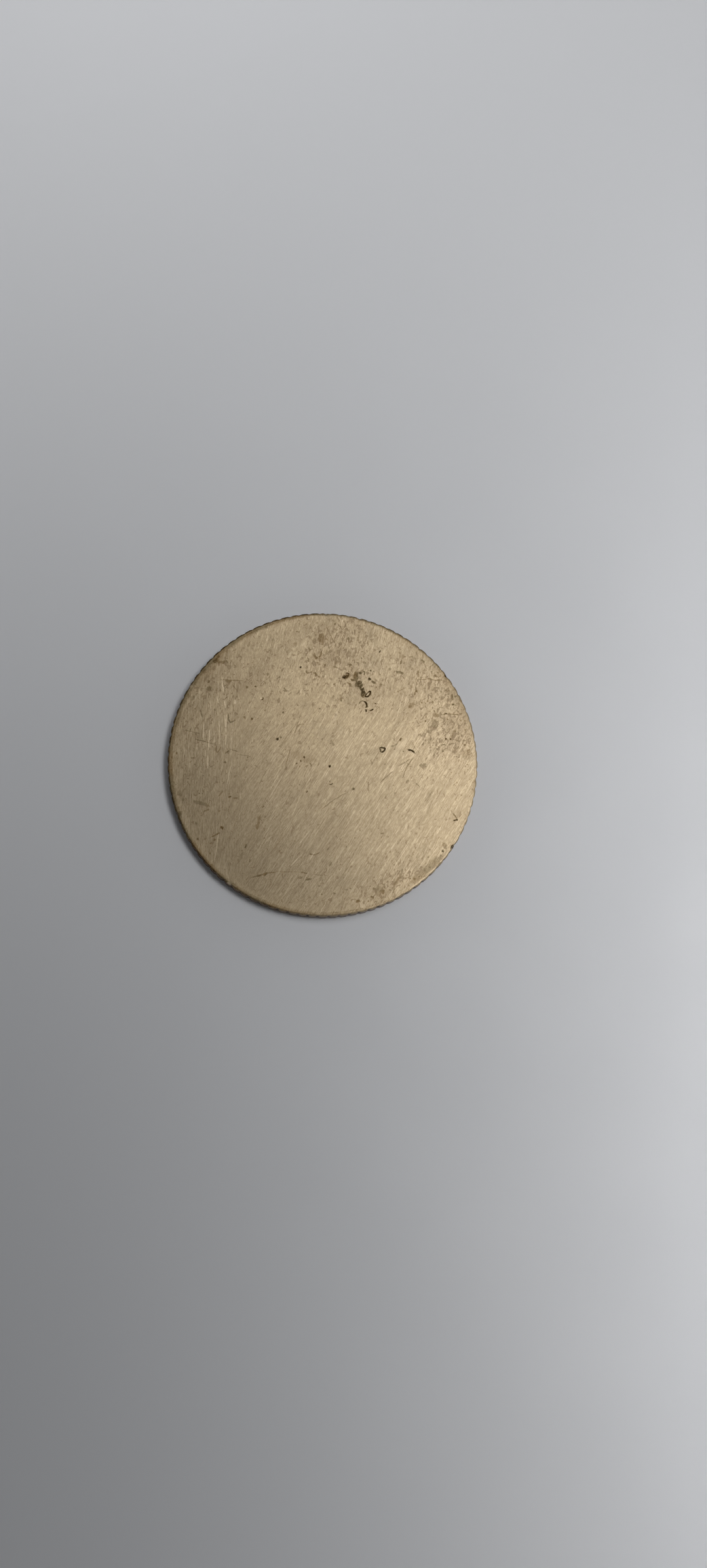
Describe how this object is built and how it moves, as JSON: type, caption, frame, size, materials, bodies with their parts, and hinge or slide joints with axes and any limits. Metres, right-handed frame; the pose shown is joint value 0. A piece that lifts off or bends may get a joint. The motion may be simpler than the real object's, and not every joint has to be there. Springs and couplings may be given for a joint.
{
  "type": "transit token",
  "caption": "Round flat fare token: a plain brass disc with blank faces, softly rounded rims and a reeded edge, made to drop through a turnstile or fare box slot.",
  "frame": {"origin": "middle of the face that the token lies on", "axes": "+Z through the thickness, up from the face that the token lies on; X and Y across the faces"},
  "size_m": [0.023, 0.023, 0.0012],
  "materials": {
    "token_brass": "worn satin brass, ground faces, tarnished in the reeds"
  },
  "bodies": {
    "root": {"token_disc": "token_brass"}
  },
  "joints": []
}
